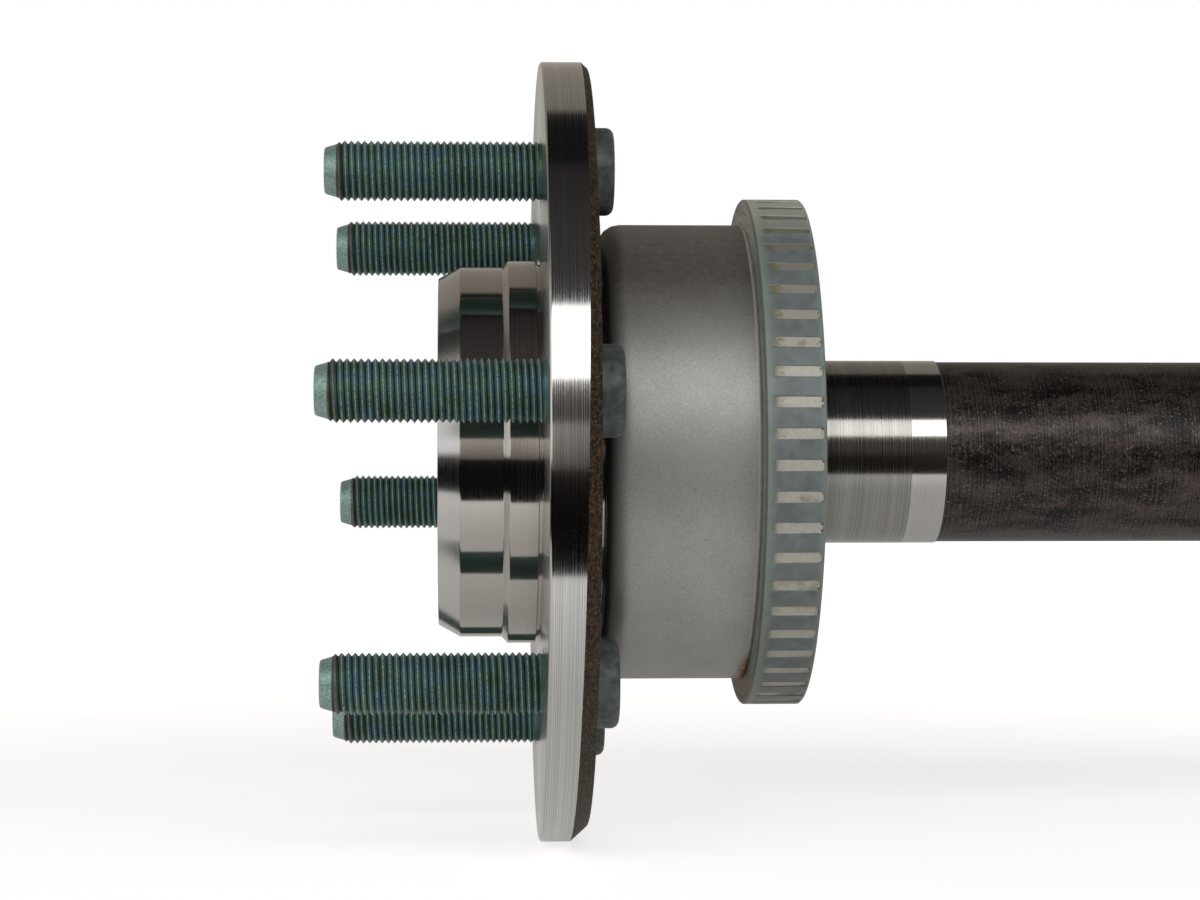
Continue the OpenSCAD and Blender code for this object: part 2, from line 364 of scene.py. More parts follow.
# %% [markdown]
# ## Bare steel
#
# Each finish starts from what the real surface is and how it was made. A lathe tool leaves a
# very fine spiral groove. On a cylinder its turns lie side by side along the axle, and on a flat
# face they are circles, so one coordinate serves both: the distance along the axle plus the
# distance from it. A one-dimensional noise of that coordinate gives lines that differ from turn
# to turn, and a slower one lets their tone drift. The grooves smear a reflection across them
# and leave it sharp along them, so the shader is anisotropic, and its tangent points across the
# grooves: along the axle on a cylinder, and away from the axle on a face.

# %% Turned steel
DRIFT_LINES, DRIFT_SHARE = 14, 0.4
LINE_REACH, TONE_REACH = (0.35, 0.65), (0.45, 0.95)
ROUGH_SPREAD = (0.7, 1.35)
FROM_AXLE = (0, 1, 1)
ALONG_AXLE = (1, 0, 0)


def turned_steel(name, line_mm, depth_mm, roughness, smear, light, dark):
    """Bare lathe-turned steel with lines of about line_mm, a little coarser than the real feed."""
    material, tree, place = fresh(name)
    outward = node(tree, "ShaderNodeVectorMath", [place, FROM_AXLE], operation="MULTIPLY")
    away = node(tree, "ShaderNodeVectorMath", [outward], operation="LENGTH")
    along = node(tree, "ShaderNodeMath", [node(tree, "ShaderNodeSeparateXYZ", [place]), away])
    lines, drift = [
        node(tree, "ShaderNodeTexNoise", {"W": along, "Scale": 1 / (size * MM), "Detail": detail},
             noise_dimensions="1D")
        for size, detail in ((line_mm, 2), (DRIFT_LINES * line_mm, 3))]
    tone = node(tree, "ShaderNodeMath", [drift, DRIFT_SHARE, lines], operation="MULTIPLY_ADD")
    tone = node(tree, "ShaderNodeMapRange", [tone, *TONE_REACH])
    finest, coarsest = [roughness * part for part in ROUGH_SPREAD]
    rough = node(tree, "ShaderNodeMapRange", [lines, *LINE_REACH, finest, coarsest])
    bump = node(tree, "ShaderNodeBump", {"Height": lines, "Strength": 1.0, "Distance": depth_mm * MM})
    outward = node(tree, "ShaderNodeVectorMath", [outward], operation="NORMALIZE")
    across = node(tree, "ShaderNodeVectorMath", [outward, ALONG_AXLE])
    return shade(material, "ShaderNodeBsdfPrincipled", {
        "Base Color": coats(tree, dark, [(tone, light)]), "Metallic": 1.0, "Roughness": rough,
        "Normal": bump, "Anisotropic": smear, "Tangent": across})


rim_steel = turned_steel("Rough-turned steel", line_mm=0.22, depth_mm=0.003, roughness=0.17,
                         smear=0.9, light="#d9d8d6", dark="#aaa9a7")
face_steel = turned_steel("Finish-turned steel", line_mm=0.3, depth_mm=0.0006, roughness=0.15,
                          smear=1.0, light="#c2bdb8", dark="#b8b3ae")
lead_steel = turned_steel("Turned lead-in steel", line_mm=0.3, depth_mm=0.0006, roughness=0.2,
                          smear=0.9, light="#d6d4d1", dark="#cac8c5")
journal_steel = turned_steel("Fine-turned journal steel", line_mm=0.24, depth_mm=0.0009, roughness=0.22,
                             smear=0.9, light="#acaaa5", dark="#7e7c78")
polished_steel = turned_steel("Polished steel", line_mm=0.25, depth_mm=0.0005, roughness=0.15,
                              smear=0.8, light="#c4c2be", dark="#b2b0ac")
print("steel finishes: rim, face, lead-in, journal, polished")


# %% [markdown]
# ## Forging scale
#
# Where no tool has been, the hammer and the furnace left a dark skin of scale: rough, slightly
# glossy, speckled with rust and with bare grey specks. A coarse noise mottles it, a fine one
# gives the grains, and faint lines round the bar come from the rolls that straightened it.

# %% Forging scale
ROLL_LINE = 0.36
MOTTLE_SHARE, MOTTLE_REACH = 0.8, (-0.16, 0.18)
GRAIN_REACH, SPECK_REACH = (0.3, 0.7), (0.62, 0.74)
SCALE_SPREAD = (0.85, 1.15)
SCALE_DEPTH = 0.03


def forging_scale(name, brown, black, fleck, lump_mm, stretch, grain_mm, lines, roughness):
    """The dark skin of a forging, its grains large enough to show, its lumps stretched along the axle."""
    material, tree, place = fresh(name)
    drawn_out = node(tree, "ShaderNodeVectorMath", [place, (1 / stretch, 1, 1)], operation="MULTIPLY")
    lumps, grains = [
        node(tree, "ShaderNodeTexNoise", {"Vector": spot, "Scale": 1 / (size * MM), "Detail": detail})
        for spot, size, detail in ((drawn_out, lump_mm, 4), (place, grain_mm, 2))]
    along = node(tree, "ShaderNodeSeparateXYZ", [place])
    rolled = node(tree, "ShaderNodeTexNoise", {"W": along, "Scale": 1 / (ROLL_LINE * MM), "Detail": 0},
                  noise_dimensions="1D")
    relief = node(tree, "ShaderNodeMath", [rolled, lines, grains], operation="MULTIPLY_ADD")
    mottle = node(tree, "ShaderNodeMath", [relief, MOTTLE_SHARE, lumps], operation="MULTIPLY_ADD")
    # The noises have a mean of a half each, so the mottle's middle is the sum of their shares.
    middle = 0.5 + MOTTLE_SHARE * (0.5 + 0.5 * lines)
    ground = node(tree, "ShaderNodeMapRange", [mottle, *(middle + step for step in MOTTLE_REACH)])
    speck = node(tree, "ShaderNodeMapRange", [grains, *SPECK_REACH])
    finest, coarsest = [roughness * part for part in SCALE_SPREAD]
    rough = node(tree, "ShaderNodeMapRange", [grains, *GRAIN_REACH, finest, coarsest])
    bump = node(tree, "ShaderNodeBump", {"Height": relief, "Strength": 0.6, "Distance": SCALE_DEPTH * MM})
    return shade(material, "ShaderNodeBsdfPrincipled", {
        "Base Color": coats(tree, black, [(ground, brown), (speck, fleck)]), "Metallic": 0.5,
        "Roughness": rough, "Normal": bump})


flange_scale = forging_scale("Forging scale on the flange", brown="#574330", black="#150f0b", fleck="#857249",
                             lump_mm=1.0, stretch=1.0, grain_mm=0.5, lines=0.2, roughness=0.6)
shaft_scale = forging_scale("Forging scale on the shaft", brown="#524843", black="#0d0b0a", fleck="#7d7268",
                            lump_mm=3.6, stretch=2.5, grain_mm=0.5, lines=0.55, roughness=0.38)
print("scale finishes: flange, shaft")


# %% [markdown]
# ## Turning a piece
#
# Most of the axle and the whole cup are round, so they are drawn as half an outline and turned
# about the axle. Blender's Screw modifier can do that, but a short function gives two things
# that it doesn't: a finish for each stretch of the outline, and small rounded edges. No real
# edge is perfectly sharp, and the round is what catches a thin line of light. On either side
# of a round sits one more ring of points, so that smooth shading stays out of the flat part.

# %% Rounded corners
EASE_STEPS = 4
# The rounds at the two ends of a stretch may take up this share of it between them.
SHARED = 0.85
# The ring of points beside a round lies this share of the cut beyond it.
SUPPORT = 0.12


def ease(corners):
    """Rounds an outline's corners. A corner is (x, radius, cut, finish of the stretch after it)."""
    rows = []
    for i, (x, r, cut, finish) in enumerate(corners):
        here = Vector((x, r))
        if cut == 0:
            rows.append((here, finish))
            continue
        back = Vector(corners[i - 1][:2]) - here
        ahead = Vector(corners[i + 1][:2]) - here
        for side, other in ((back, corners[i - 1][2]), (ahead, corners[i + 1][2])):
            cut = min(cut, side.length * SHARED * cut / (cut + other))
        start = here + back.normalized() * cut
        end = here + ahead.normalized() * cut
        rows.append((start + back.normalized() * cut * SUPPORT, corners[i - 1][3]))
        pull = math.sin(back.angle(ahead) / 2)
        for k in range(EASE_STEPS + 1):
            t = k / EASE_STEPS
            shares = ((1 - t) ** 2, 2 * t * (1 - t) * pull, t * t)
            point = (start * shares[0] + here * shares[1] + end * shares[2]) / sum(shares)
            rows.append((point, finish))
        rows.append((end + ahead.normalized() * cut * SUPPORT, finish))
    return rows


trial_corners = [(0, 0, 0, 0), (0, 10, 1, 0), (10, 10, 0, 0)]
print("one rounded corner becomes", len(ease(trial_corners)) - 2, "points")


# %% [markdown]
# The turned mesh is a net: a column of points for each step round the axle, and a row for each
# point of the outline. A point on the axle itself is shared by all columns, as a trial disc
# shows.

# %% Turning
TRIAL_COLUMNS = 8


def marked_mesh(name, points, faces, marks, finishes):
    """A mesh whose faces are marked with the number of the finish that each one takes."""
    mesh = bpy.data.meshes.new(name)
    mesh.from_pydata(points, [], faces)
    for finish in finishes:
        mesh.materials.append(finish)
    mesh.polygons.foreach_set("material_index", marks)
    return mesh


def wrap(name, columns, outline_at, finishes):
    """Turns an outline about X. outline_at takes the sine of the angle above the horizontal."""
    points, faces, face_marks, row_marks, grid = [], [], [], [], []
    for j in range(columns):
        turn = 2 * math.pi * j / columns
        column = []
        for i, (point, finish) in enumerate(ease(outline_at(math.sin(turn)))):
            if j and point.y == 0:
                column.append(grid[0][i])
                continue
            column.append(len(points))
            points.append(Vector((point.x, point.y * math.cos(turn), point.y * math.sin(turn))) * MM)
            if j == 0:
                row_marks.append(finish)
        grid.append(column)
    for j in range(columns):
        here, there = grid[j], grid[(j + 1) % columns]
        for i in range(len(here) - 1):
            faces.append(list(dict.fromkeys([here[i], there[i], there[i + 1], here[i + 1]])))
            face_marks.append(row_marks[i])
    return marked_mesh(name, points, faces, face_marks, finishes)


trial_disc = wrap("trial_disc", TRIAL_COLUMNS, lambda height: trial_corners, [face_steel])
print("a trial disc in", TRIAL_COLUMNS, "columns has", len(trial_disc.vertices), "points")
bpy.data.meshes.remove(trial_disc)


# %% [markdown]
# Meshes that belong to one piece are welded, which merges their seams, turns all faces outwards
# and marks the hard edges, so that everything else can be shaded smooth.

# %% Welding
SHARP = math.radians(33)
WELD = 0.002 * MM
SLIVER = WELD / 10


def weld(name, meshes):
    """Joins meshes into one, merges their seams, turns all faces outwards and marks hard edges."""
    shape = bmesh.new()
    for mesh in meshes:
        shape.from_mesh(mesh)
    bmesh.ops.remove_doubles(shape, verts=shape.verts[:], dist=WELD)
    bmesh.ops.dissolve_degenerate(shape, edges=shape.edges[:], dist=SLIVER)
    bmesh.ops.recalc_face_normals(shape, faces=shape.faces[:])
    for face in shape.faces:
        face.smooth = True
    for edge in shape.edges:
        edge.smooth = len(edge.link_faces) == 2 and edge.calc_face_angle(0) < SHARP
    open_edges = sum(1 for edge in shape.edges if len(edge.link_faces) != 2)
    joined = bpy.data.meshes.new(name)
    shape.to_mesh(joined)
    shape.free()
    for material in meshes[0].materials:
        joined.materials.append(material)
    print(f"{name}: {len(joined.polygons)} faces, {open_edges} open edges")
    return joined


print(f"edges are hard from {math.degrees(SHARP):.0f} degrees")


# %% [markdown]
# ## Repeating round the axle
#
# The spline teeth and the signal ring's pockets are one small pattern many times over. So one
# sector is modelled, and a Geometry Nodes tree sets copies of it round the axle. The copies are
# made real at the end, their seams are merged, and the faces of one finish get their material.

# %% Repeat tree
def geometry_tree(name, inputs):
    """A Geometry Nodes tree with these inputs, by name and kind. Returns it and its input sockets."""
    tree = bpy.data.node_groups.new(name, "GeometryNodeTree")
    tree.interface.new_socket("Geometry", in_out="OUTPUT", socket_type="NodeSocketGeometry")
    for label, kind in {"Geometry": "Geometry", **inputs}.items():
        tree.interface.new_socket(label, in_out="INPUT", socket_type="NodeSocket" + kind)
    return tree, node(tree, "NodeGroupInput").outputs


repeat, given = geometry_tree(
    "Repeat round the axle", {"Count": "Int", "Phase": "Float", "Slot": "Int", "Finish": "Material"})
line = node(repeat, "GeometryNodeMeshLine", {"Count": given["Count"], "Offset": (0, 0, 0)})
pitch = node(repeat, "ShaderNodeMath", [2 * math.pi, given["Count"]], operation="DIVIDE")
index = node(repeat, "GeometryNodeInputIndex")
turn = node(repeat, "ShaderNodeMath", [index, pitch, given["Phase"]], operation="MULTIPLY_ADD")
spin = node(repeat, "ShaderNodeCombineXYZ", [turn])
copies = node(repeat, "GeometryNodeInstanceOnPoints",
              {"Points": line, "Instance": given["Geometry"], "Rotation": spin})
real = node(repeat, "GeometryNodeRealizeInstances", [copies])
merged = node(repeat, "GeometryNodeMergeByDistance", {"Geometry": real, "Distance": WELD})
slot = node(repeat, "GeometryNodeInputMaterialIndex")
chosen = node(repeat, "FunctionNodeCompare", [slot, given["Slot"]], data_type="INT", operation="EQUAL")
finished = node(repeat, "GeometryNodeSetMaterial", [merged, chosen, given["Finish"]])
node(repeat, "NodeGroupOutput", [finished])
print("repeat tree has", len(repeat.nodes), "nodes")


# %% [markdown]
# ## The axle
#
# One forging, then a lathe. The outline starts at the lathe centre in the dished pilot and runs
# over the lead-in, the wheel pilot, a ramp and the rotor pilot to the wheel face and its rim. A
# small relief clears the corner where the rotor seats.

# %% Pilots and wheel face
RIM, FACE, LEAD, JOURNAL, POLISHED, SKIN, SHAFT = range(7)
axle_finishes = [rim_steel, face_steel, lead_steel, journal_steel, polished_steel, flange_scale, shaft_scale]

EDGE, FINE_EDGE = 0.2, 0.1
DISH_R, DISH_H, DISH_FLOOR_R = 29.0, 8.0, 27.3
DISH_ROUND, DISH_LIP = 1.0, 0.4
CENTRE_R, CENTRE_H = 4.0, 6.93
LEAD_LEN, LEAD_H = 5.1, 2.8
ROTOR_LEN, ROTOR_RAMP = 7.3, 1.4
RELIEF = 0.9
FACE_CHAMFER = 0.4
pilot_x = axle_low.x
dish_x = pilot_x + DISH_H

pilot = [
    (dish_x + CENTRE_H, 0, 0, FACE),
    (dish_x, CENTRE_R, EDGE, FACE),
    (dish_x, DISH_FLOOR_R, DISH_ROUND, SKIN),
    (pilot_x, DISH_R, DISH_LIP, FACE),
    (pilot_x, pilot_r - LEAD_H, EDGE, LEAD),
    (pilot_x + LEAD_LEN, pilot_r, EDGE, FACE),
    (-ROTOR_LEN - ROTOR_RAMP, pilot_r, EDGE, FACE),
    (-ROTOR_LEN, rotor_r, EDGE, FACE),
    (-RELIEF, rotor_r, FINE_EDGE, FACE),
    (-RELIEF, rotor_r - RELIEF, FINE_EDGE, FACE),
    (RELIEF, rotor_r - RELIEF, FINE_EDGE, FACE),
    (0, rotor_r + RELIEF, FINE_EDGE, FACE),
    (0, flange_r - FACE_CHAMFER, EDGE, FACE),
    (FACE_CHAMFER, flange_r, EDGE, RIM),
]
print(f"pilots stand {-pilot_x:.1f} mm out of the wheel face")


# %% [markdown]
# Round the flange's back the forging kept its own bevelled edge. The forging was chucked a
# little off centre, so that bevel is wider at the bottom than at the top: its corner points
# move with the angle, which is why an outline is asked for by the sine of that angle.

# %% Flange back
FLANGE_T = 10.9
BEVEL_W = 2.7
BEVEL_SLOPE = math.tan(math.radians(42))
BEVEL_EDGE, BACK_EDGE = 0.12, 0.25
FORGE_SHIFT = 1.1
SCALE_LEFT = 0.8


def flange_back(height):
    """The rim's end, the forged bevel and the faced back, at a sine of the angle."""
    shift = FORGE_SHIFT * height
    back_r = flange_r - BEVEL_W * BEVEL_SLOPE + shift
    return [
        (FLANGE_T - BEVEL_W + shift / BEVEL_SLOPE, flange_r, BEVEL_EDGE, SKIN),
        (FLANGE_T, back_r, BACK_EDGE, SKIN),
        (FLANGE_T, back_r - SCALE_LEFT, 0, FACE),
    ]


rim_widths = [flange_back(height)[0][0] for height in (-1, 1)]
print(f"turned rim {rim_widths[0]:.1f} mm wide at the bottom, {rim_widths[1]:.1f} mm at the top")


# %% [markdown]
# Behind the flange follow the hub, the cup's seat and the bearing journal, which ends in a
# polished band. The shaft is as the forge left it, down to the neck of the splines. A groove for
# a clip and a button with a lathe centre end the axle.

# %% Shank and button
HUB_R, HUB_FILLET = 44.0, 2.0
SEAT_R, SEAT_END, SEAT_CHAMFER = 35.0, 23.8, 1.0
ROOT_ROUND = 8.0
FINE_BAND_X, JOURNAL_END = 85.4, 93.5
SHAFT_STEP = 0.3
TAPER_X, NECK_X, NECK_R, TAPER_ROUND = 737.0, 773.0, 17.15, 4.0
SPLINE_X, GROOVE_X = 787.0, 845.0
GROOVE_R, BUTTON_X, BUTTON_CHAMFER = 13.5, 851.0, 1.5
cup_x = cup_low.x
shaft_r = journal_r - SHAFT_STEP
axle_end = axle_high.x

shank = [
    (FLANGE_T, HUB_R, HUB_FILLET, FACE),
    (cup_x, HUB_R, EDGE, FACE),
    (cup_x, SEAT_R, FINE_EDGE, FACE),
    (SEAT_END - SEAT_CHAMFER, SEAT_R, EDGE, FACE),
    (SEAT_END, SEAT_R - SEAT_CHAMFER, EDGE, JOURNAL),
    (SEAT_END, journal_r, ROOT_ROUND, JOURNAL),
    (FINE_BAND_X, journal_r, 0, POLISHED),
    (JOURNAL_END, journal_r, FINE_EDGE, SHAFT),
    (JOURNAL_END + SHAFT_STEP, shaft_r, FINE_EDGE, SHAFT),
    (TAPER_X, shaft_r, TAPER_ROUND, SHAFT),
    (NECK_X, NECK_R, TAPER_ROUND, JOURNAL),
    (SPLINE_X, NECK_R, 0, JOURNAL),
]
button = [
    (GROOVE_X, NECK_R, 0, JOURNAL),
    (GROOVE_X, GROOVE_R, EDGE, JOURNAL),
    (BUTTON_X, GROOVE_R, EDGE, JOURNAL),
    (BUTTON_X, NECK_R, EDGE, JOURNAL),
    (axle_end - BUTTON_CHAMFER, NECK_R, EDGE, JOURNAL),
    (axle_end, NECK_R - BUTTON_CHAMFER, EDGE, FACE),
    (axle_end, CENTRE_R, EDGE, FACE),
    (axle_end - CENTRE_H, 0, 0, FACE),
]
print(f"shaft radius {shaft_r:.2f} mm, {axle_end:.0f} mm from the wheel face to the inner end")


# %% [markdown]
# The stretches on either side of the splined end are turned apart. Their number of columns is a
# multiple of the number of teeth, so that the splines can join them point for point.

# %% Axle body
SPLINE_COUNT = 34
SECTOR_STEPS = 8
AXLE_COLUMNS = SPLINE_COUNT * SECTOR_STEPS
body_mesh = wrap("axle_body", AXLE_COLUMNS, lambda height: pilot + flange_back(height) + shank, axle_finishes)
button_mesh = wrap("axle_button", AXLE_COLUMNS, lambda height: button, axle_finishes)
print("axle outline corners:", len(pilot + flange_back(0) + shank + button))


# %% [markdown]
# The inner end is splined: 34 straight-sided teeth that slide into a side gear. One tooth and
# half a space on each side make the sector. Its two end rows are plain arcs with even steps,
# so that they meet the neighbouring turned rings point for point.

# %% Spline tooth
SPLINE_TIP_R, SPLINE_ROOT_R = 19.05, 17.75
SPLINE_SLOPE = 3.0
PRESSURE_ANGLE = math.radians(30)
pitch_r = (SPLINE_TIP_R + SPLINE_ROOT_R) / 2
tooth_half = math.pi * pitch_r / (2 * SPLINE_COUNT)
half_pitch = math.pi / SPLINE_COUNT


def tooth_angle(r):
    """Half of a tooth's angle at a radius."""
    return (tooth_half - (r - pitch_r) * math.tan(PRESSURE_ANGLE)) / r


def arc_row(x, angles_and_radii):
    """A row of points across a sector, in metres."""
    return [Vector((x, r * math.cos(a), r * math.sin(a))) * MM for a, r in angles_and_radii]


tooth_side = [(0, SPLINE_TIP_R)]
tooth_side += [(tooth_angle(r), r) for r in (SPLINE_TIP_R, pitch_r, SPLINE_ROOT_R)]
tooth_side += [(half_pitch, SPLINE_ROOT_R)]
tooth = [(-a, r) for a, r in tooth_side[:0:-1]] + tooth_side
root_share = (SPLINE_ROOT_R - NECK_R) / (SPLINE_TIP_R - NECK_R)
lead_out = SPLINE_SLOPE / 2
rises = [(root_share, SPLINE_ROOT_R), ((1 + root_share) / 2, pitch_r), (1, SPLINE_TIP_R)]
spline_rows = [(SPLINE_X + SPLINE_SLOPE * share, r) for share, r in rises]
spline_rows += [(GROOVE_X - lead_out * share, r) for share, r in rises[::-1]]

even = [half_pitch * (2 * k / SECTOR_STEPS - 1) for k in range(SECTOR_STEPS + 1)]
tooth_rows = [arc_row(SPLINE_X, [(a, NECK_R) for a in even])]
tooth_rows += [arc_row(x, [(a, min(r, limit)) for a, r in tooth]) for x, limit in spline_rows]
tooth_rows += [arc_row(GROOVE_X, [(a, NECK_R) for a in even])]
print("spline tooth:", len(tooth_rows), "rows of", len(even), "points")


# %% [markdown]
# The rows become a sheet of quads, and a modifier runs the tree on it. The tree's inputs are set
# by their identifiers before the object is first evaluated, and the evaluated result becomes a
# plain mesh, which is welded between the two turned stretches.

# %% Splined end
def sheet_mesh(name, rows, marks, finishes):
    """A mesh of quads between rows of points. A row's mark is the finish of the quads after it."""
    width = len(rows[0])
    quads, quad_marks = [], []
    for i in range(len(rows) - 1):
        for corner in range(i * width, (i + 1) * width - 1):
            quads.append((corner, corner + 1, corner + width + 1, corner + width))
            quad_marks.append(marks[i])
    return marked_mesh(name, [point for row in rows for point in row], quads, quad_marks, finishes)


def show(name, mesh):
    """An object at the origin that holds a mesh."""
    made = bpy.data.objects.new(name, mesh)
    scene.collection.objects.link(made)
    return made


def settled(made):
    """The mesh of an object with its modifiers worked out."""
    depsgraph = bpy.context.evaluated_depsgraph_get()
    return bpy.data.meshes.new_from_object(
        made.evaluated_get(depsgraph), preserve_all_data_layers=True, depsgraph=depsgraph)


def run_tree(name, mesh, tree, values):
    """The plain mesh that a tree makes of a mesh, with values for the tree's named inputs."""
    made = show(name, mesh)
    maker = made.modifiers.new(tree.name, "NODES")
    maker.node_group = tree
    identifiers = {s.name: s.identifier for s in tree.interface.items_tree if s.in_out == "INPUT"}
    for label, value in values.items():
        maker[identifiers[label]] = value
    result = settled(made)
    bpy.data.objects.remove(made)
    return result


tooth_mesh = sheet_mesh("spline_tooth", tooth_rows, [JOURNAL] * len(tooth_rows), axle_finishes)
spline_mesh = run_tree("splines", tooth_mesh, repeat, {
    "Count": SPLINE_COUNT, "Phase": half_pitch, "Slot": JOURNAL, "Finish": journal_steel})
axle_solid = weld("axle", [body_mesh, spline_mesh, button_mesh])


# %% [markdown]
# The six stud holes go right through the flange, so a Boolean modifier drills them with six
# plain cylinders. The studs' places come from the frame: a stud is round about its own axis,
# so the middle of its box is its centre. Then the axle is done, and it takes the place of its
# solid, which is hidden.

# %% Stud holes
STUD_NODES = [f"wheel_stud_{k}" for k in range(1, 7)]
SHANK_R = 7.6
DRILL_STEPS = 64
stud_places = {name: (box_mm(name)[0] + box_mm(name)[1]) / 2 for name in STUD_NODES}


def dress(piece, replaced):
    """Hands a finished piece to the frame in place of a solid."""
    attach(piece, "root")
    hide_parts(replaced)


drills = bmesh.new()
along_x = Matrix.Rotation(math.radians(90), 4, "Y")
for place in stud_places.values():
    spot = Matrix.Translation(Vector((FLANGE_T / 2, place.y, place.z)) * MM)
    bmesh.ops.create_cone(drills, cap_ends=True, segments=DRILL_STEPS, radius1=SHANK_R * MM,
                          radius2=SHANK_R * MM, depth=2 * FLANGE_T * MM, matrix=spot @ along_x)
for face in drills.faces:
    face.material_index = FACE
drill_mesh = bpy.data.meshes.new("drills")
drills.to_mesh(drill_mesh)
drills.free()
for finish in axle_finishes:
    drill_mesh.materials.append(finish)

axle = show("axle", axle_solid)
drill = show("drill", drill_mesh)
cut = axle.modifiers.new("Stud holes", "BOOLEAN")
cut.operation = "DIFFERENCE"
cut.solver = "EXACT"
cut.object = drill
drilled = settled(axle)
axle.modifiers.remove(cut)
bpy.data.objects.remove(drill)
axle.data = weld("axle_drilled", [drilled])
dress(axle, "axle_shaft")


# %% [markdown]
# ## The cup
#
# A disc of steel sheet, drawn into a cup. The press and the plating bath leave a satin grey skin
# with a fine grain. Brown dust has settled on the top, which is painted darker as shade too, the
# corner behind the flange is painted near black as shade, a thin highlight is painted along the
# step where the ring seats, and water stood under the ring and left rust there. Each of these
# marks is laid on through a mask, and most masks follow from the place on the object alone: they
# grow along the axle or upwards, between two places.

# %% Plated sheet
JOGGLE = 1.0
# Width and fade of the highlight painted along the ring's step.
STEP_GLINT_W, STEP_GLINT_FADE = 0.4, 1.4
RUST_SKIN = (1.6, 1.2)


def fades(tree, place, stretches):
    """Masks by name. Each grows between two places on an axis, in millimetres, up to a share."""
    axes = node(tree, "ShaderNodeSeparateXYZ", [place]).outputs
    return {name: node(tree, "ShaderNodeMapRange", [axes[axis], start * MM, end * MM, 0.0, most])
            for name, (axis, start, end, most) in stretches.items()}


def plated_sheet():
    """Zinc-plated drawn sheet: satin and grainy, soiled and painted shade on top, rusty under the ring,
    painted highlight at the step, painted shade at the floor.
    """
    material, tree, place = fresh("Plated drawn sheet")
    clouds, grain, holes, blots = [
        node(tree, "ShaderNodeTexNoise", {"Vector": place, "Scale": 1 / (size * MM), "Detail": detail})
        for size, detail in ((11, 4), (0.42, 2), (0.9, 1), (1.6, 5))]
    by_place = fades(tree, place, {
        "high": (UP, 0.4 * cup_r, 0.74 * cup_r, 1.0),
        "under": (UP, -0.8 * cup_r, -0.95 * cup_r, 1.0),
        "beside": (ALONG, ring_low.x - 4, ring_low.x, 1.0),
        # Painted shade: the corner behind the flange is painted near black, where its shadow falls.
        "shaded corner": (ALONG, cup_low.x + 4.4, cup_low.x + 0.6, 0.92),
    })
    tone = node(tree, "ShaderNodeMath", [clouds, 0.5, grain], operation="MULTIPLY_ADD")
    tone = node(tree, "ShaderNodeMapRange", [tone, 0.38, 1.12])
    pits = node(tree, "ShaderNodeMapRange", [holes, 0.74, 0.82, 0.0, 0.55])
    # Dust in patches, and painted shade: the whole top of the cup is painted darker.
    top_patches = node(tree, "ShaderNodeMapRange", [blots, 0.3, 0.65, 0.82, 1.0])
    dust_and_top_shade = node(tree, "ShaderNodeMath", [by_place["high"], top_patches], operation="MULTIPLY")

    along = node(tree, "ShaderNodeSeparateXYZ", [place])
    # Painted highlight: a thin pale line along the step where the ring seats.
    off = node(tree, "ShaderNodeMath", [along, (ring_low.x - JOGGLE / 2) * MM], operation="SUBTRACT")
    off = node(tree, "ShaderNodeMath", [off], operation="ABSOLUTE")
    rubbed_and_highlight = node(tree, "ShaderNodeMapRange", [off, STEP_GLINT_FADE * STEP_GLINT_W * MM, STEP_GLINT_W * MM, 0.0, 0.8])

    outward = node(tree, "ShaderNodeVectorMath", [place, FROM_AXLE], operation="MULTIPLY")
    away = node(tree, "ShaderNodeVectorMath", [outward], operation="LENGTH")
    outer_skin = [(cup_r - depth) * MM for depth in RUST_SKIN]
    damp = node(tree, "ShaderNodeMapRange", [away, *outer_skin, 0.0, by_place["under"]])
    for limit in (by_place["beside"], blots):
        damp = node(tree, "ShaderNodeMath", [damp, limit], operation="MULTIPLY")
    rusty = node(tree, "ShaderNodeMapRange", [damp, 0.12, 0.36])

    # The dark brown stands for dust and painted shade on top, the pale line for a painted highlight, the near
    # black for painted shade.
    colour = coats(tree, "#a3a3a0", [
        (tone, "#c9c9c6"), (pits, "#5f5a55"), (dust_and_top_shade, "#78726b"), (rubbed_and_highlight, "#d9d7d3"),
        (rusty, "#8d672f"), (by_place["shaded corner"], "#1b1917")])
    rough = node(tree, "ShaderNodeMapRange", [tone, 0.0, 1.0, 0.5, 0.42])
    bump = node(tree, "ShaderNodeBump", {"Height": grain, "Strength": 0.3, "Distance": 0.04 * MM})
    return shade(material, "ShaderNodeBsdfPrincipled", {
        "Base Color": colour, "Metallic": 0.4, "Roughness": rough, "Normal": bump})


cup_sheet = plated_sheet()
print("plated sheet has", len(cup_sheet.node_tree.nodes), "nodes")


# %% [markdown]
# The cup's outline runs once round the sheet's section: a collar that grips the axle's seat, the
# floor, a large rounded corner, the wall, and near the open end the step that the ring seats
# against. It ends where it began, so the turned shell is closed.

# %% Cup
CUP_COLUMNS = 240
SHEET_T = 2.0
CUP_ROUND = 5.0
COLLAR_LEN = 9.0
seat_r = cup_r - JOGGLE
floor_x = cup_x + SHEET_T
collar_x = cup_x + COLLAR_LEN
inner_r = cup_r - SHEET_T

